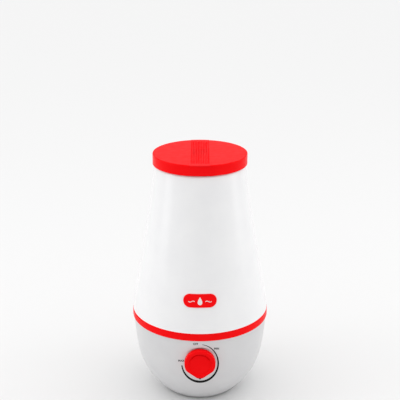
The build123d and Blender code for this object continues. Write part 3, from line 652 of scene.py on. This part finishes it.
# ------------------------------------------------------------------ lid grille
grille_low, grille_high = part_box("lid_grille")
lid_low, lid_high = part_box("lid")
LID_RADIUS = lid_high.x
STRIP_HALF = grille_high.x
STRIP_TOP = grille_high.z
STRIP_THICK = 0.00145
STRIP_MARGIN = 0.0006
STRIP_SMOOTH = 30
STRIP_EDGE_GAP = 0.0001
CELLS_ACROSS = 11
CELLS_ALONG = 48
CELL = 2 * (STRIP_HALF - STRIP_MARGIN) / CELLS_ACROSS
RIB = 0.0008
BLIND_DEPTH = 0.0006
OUTLET = (0.012, 0.018)           # half sizes of the slot under the lattice
CREASE_WIDTH = 0.00012
CREASE_SEGMENTS = 2
CORNERS = ((-1, -1), (1, -1), (1, 1), (-1, 1))
PANEL_COLUMNS = 24
PANEL_ROUND = 0.0005
PANEL_ROUND_STEPS = 4
PANEL_TOP_GAP = 0.0002
PANEL_FOOT_GAP = 0.0001


def build_grille():
    """The strip's fine lattice: open over the outlet, shallow pockets elsewhere, plain ends."""
    points, faces = [], []
    top, bottom = STRIP_TOP, STRIP_TOP - STRIP_THICK

    def face(*corners):
        start = len(points)
        points.extend(corners)
        faces.append(tuple(range(start, start + len(corners))))

    def wall(a, b, low):
        face((*a, top), (*b, top), (*b, low), (*a, low))

    def frame_round(outer, inner, z):
        for i in range(4):
            j = (i + 1) % 4
            face((*outer[i], z), (*outer[j], z), (*inner[j], z), (*inner[i], z))

    whole, hole = CELL / 2, (CELL - RIB) / 2
    for column in range(CELLS_ACROSS):
        for line in range(CELLS_ALONG):
            x = (column - (CELLS_ACROSS - 1) / 2) * CELL
            y = (line - (CELLS_ALONG - 1) / 2) * CELL
            outer = [(x + i * whole, y + j * whole) for i, j in CORNERS]
            inner = [(x + i * hole, y + j * hole) for i, j in CORNERS]
            is_open = abs(x) < OUTLET[0] - whole and abs(y) < OUTLET[1] - whole
            low = bottom if is_open else top - BLIND_DEPTH
            frame_round(outer, inner, top)
            for i in range(4):
                wall(inner[i], inner[(i + 1) % 4], low)
            if is_open:
                frame_round(outer, inner, bottom)
            else:
                face(*[(*corner, low) for corner in inner])
                face(*[(*corner, bottom) for corner in outer])
    side = CELLS_ACROSS * CELL / 2
    end = CELLS_ALONG * CELL / 2
    for sign in (-1, 1):
        edge_x = sign * STRIP_HALF
        for z in (top, bottom):
            face((sign * side, -end, z), (edge_x, -end, z), (edge_x, end, z), (sign * side, end, z))
        wall((edge_x, -end), (edge_x, end), bottom)
    inside = [(i - CELLS_ACROSS / 2) * CELL for i in range(CELLS_ACROSS + 1)]
    across = [-STRIP_HALF, *inside, STRIP_HALF]
    for sign in (-1, 1):
        edge = [(x, sign * (math.sqrt(LID_RADIUS ** 2 - x ** 2) - STRIP_EDGE_GAP)) for x in across]
        root = [(x, sign * end) for x in across]
        for i in range(len(across) - 1):
            for z in (top, bottom):
                face((*root[i], z), (*root[i + 1], z), (*edge[i + 1], z), (*edge[i], z))
            wall(edge[i], edge[i + 1], bottom)
        for i in (0, -1):
            wall(root[i], edge[i], bottom)
    return mesh_from("grille_lattice", points, faces)


def build_front_panel():
    """The strip's plain end that runs down the front of the lid, edges rounded."""
    top, bottom = STRIP_TOP - STRIP_THICK - PANEL_TOP_GAP, lid_low.z + PANEL_FOOT_GAP
    inner, shoulder = LID_RADIUS - STRIP_THICK, LID_RADIUS - PANEL_ROUND
    turns = quarter_turn(PANEL_ROUND_STEPS)
    section = [(inner, bottom)]
    section += [
        (shoulder + PANEL_ROUND * math.sin(turn), bottom + PANEL_ROUND * (1 - math.cos(turn)))
        for turn in turns
    ]
    section += [
        (shoulder + PANEL_ROUND * math.cos(turn), top - PANEL_ROUND * (1 - math.sin(turn)))
        for turn in turns
    ]
    section += [(inner, top)]
    half = math.asin(STRIP_HALF / LID_RADIUS)
    points = []
    for column in range(PANEL_COLUMNS + 1):
        angle = -half + 2 * half * column / PANEL_COLUMNS
        for radius, z in section:
            points.append((radius * math.sin(angle), -radius * math.cos(angle), z))
    rows, columns = PANEL_COLUMNS + 1, len(section)
    return mesh_from("front_panel", points, grid_faces(rows, columns) + end_faces(rows, columns))


grille = finish_piece(
    "grille_lattice", build_grille(), "lid", "red_grille", smooth=STRIP_SMOOTH,
    replaced=["lid_grille"],
)
crease = grille.modifiers.new("edges", "BEVEL")
crease.width = CREASE_WIDTH
crease.segments = CREASE_SEGMENTS
crease.limit_method = "ANGLE"
finish_piece("front_panel", build_front_panel(), "lid", "red_plastic")

# ------------------------------------------------------------------ studio
# The surroundings are brightest above and at both sides; seen directly they are plain white.
SKY_BASE = 0.20
SKY_TOP = 1.10
SKY_SIDES = 0.60
SKY_BACK = 0.12
PLAIN_WHITE = 0.955
LIGHTS = {"left_box": ((-1.7, -0.35, 0.75), 4.0), "right_box": ((1.8, 0.0, 0.75), 3.5)}
LIGHT_SIZE = (0.7, 1.6)
LIGHT_TARGET = Vector((0, 0, 0.2))
FLOOR_HALF = 30
FLOOR_ALBEDO = 0.77
FLOOR_ROUGHNESS = 0.9


def area_light(name, location, power):
    """A soft rectangular light that faces the object."""
    data = bpy.data.lights.new(name, "AREA")
    data.shape = "RECTANGLE"
    data.size, data.size_y = LIGHT_SIZE
    data.energy = power
    light = bpy.data.objects.new(name, data)
    light.location = location
    aim = LIGHT_TARGET - Vector(location)
    light.rotation_euler = aim.to_track_quat("-Z", "Y").to_euler()
    scene.collection.objects.link(light)


for name, (location, power) in LIGHTS.items():
    area_light(name, location, power)

world = bpy.data.worlds.new("studio")
world.use_nodes = True
scene.world = world
sky = world.node_tree
background = sky.nodes["Background"]
background.inputs["Color"].default_value = (1, 1, 1, 1)
direction = sky.nodes.new("ShaderNodeTexCoord")
split = sky.nodes.new("ShaderNodeSeparateXYZ")
sky.links.new(direction.outputs["Generated"], split.inputs["Vector"])


def sky_math(operation, first, second=0.0):
    """One step of the sky's brightness; each input is a socket or a number."""
    step = sky.nodes.new("ShaderNodeMath")
    step.operation = operation
    for socket, value in zip(step.inputs, (first, second)):
        if isinstance(value, float):
            socket.default_value = value
        else:
            sky.links.new(value, socket)
    return step.outputs["Value"]


above = sky_math("MULTIPLY", sky_math("MAXIMUM", split.outputs["Z"]), SKY_TOP)
beside = sky_math("MULTIPLY", sky_math("ABSOLUTE", split.outputs["X"]), SKY_SIDES)
behind = sky_math("MULTIPLY", split.outputs["Y"], SKY_BACK)
brightness = sky_math("ADD", sky_math("ADD", above, beside), sky_math("ADD", behind, SKY_BASE))
sky.links.new(brightness, background.inputs["Strength"])
plain = sky.nodes.new("ShaderNodeBackground")
plain.inputs["Color"].default_value = (1, 1, 1, 1)
plain.inputs["Strength"].default_value = PLAIN_WHITE
path = sky.nodes.new("ShaderNodeLightPath")
either = sky.nodes.new("ShaderNodeMixShader")
sky.links.new(path.outputs["Is Camera Ray"], either.inputs["Fac"])
sky.links.new(background.outputs["Background"], either.inputs[1])
sky.links.new(plain.outputs["Background"], either.inputs[2])
sky.links.new(either.outputs["Shader"], sky.nodes["World Output"].inputs["Surface"])

floor_mesh = bpy.data.meshes.new("floor")
floor_corners = [(x * FLOOR_HALF, y * FLOOR_HALF, 0) for x, y in CORNERS]
floor_mesh.from_pydata(floor_corners, [], [(0, 1, 2, 3)])
floor = bpy.data.objects.new("floor", floor_mesh)
scene.collection.objects.link(floor)
floor_material, _, floor_shader = new_material("floor_paper")
floor_shader.inputs["Base Color"].default_value = (FLOOR_ALBEDO, FLOOR_ALBEDO, FLOOR_ALBEDO, 1)
floor_shader.inputs["Roughness"].default_value = FLOOR_ROUGHNESS
floor_shader.inputs["Specular IOR Level"].default_value = 0.0
floor_mesh.materials.append(floor_material)
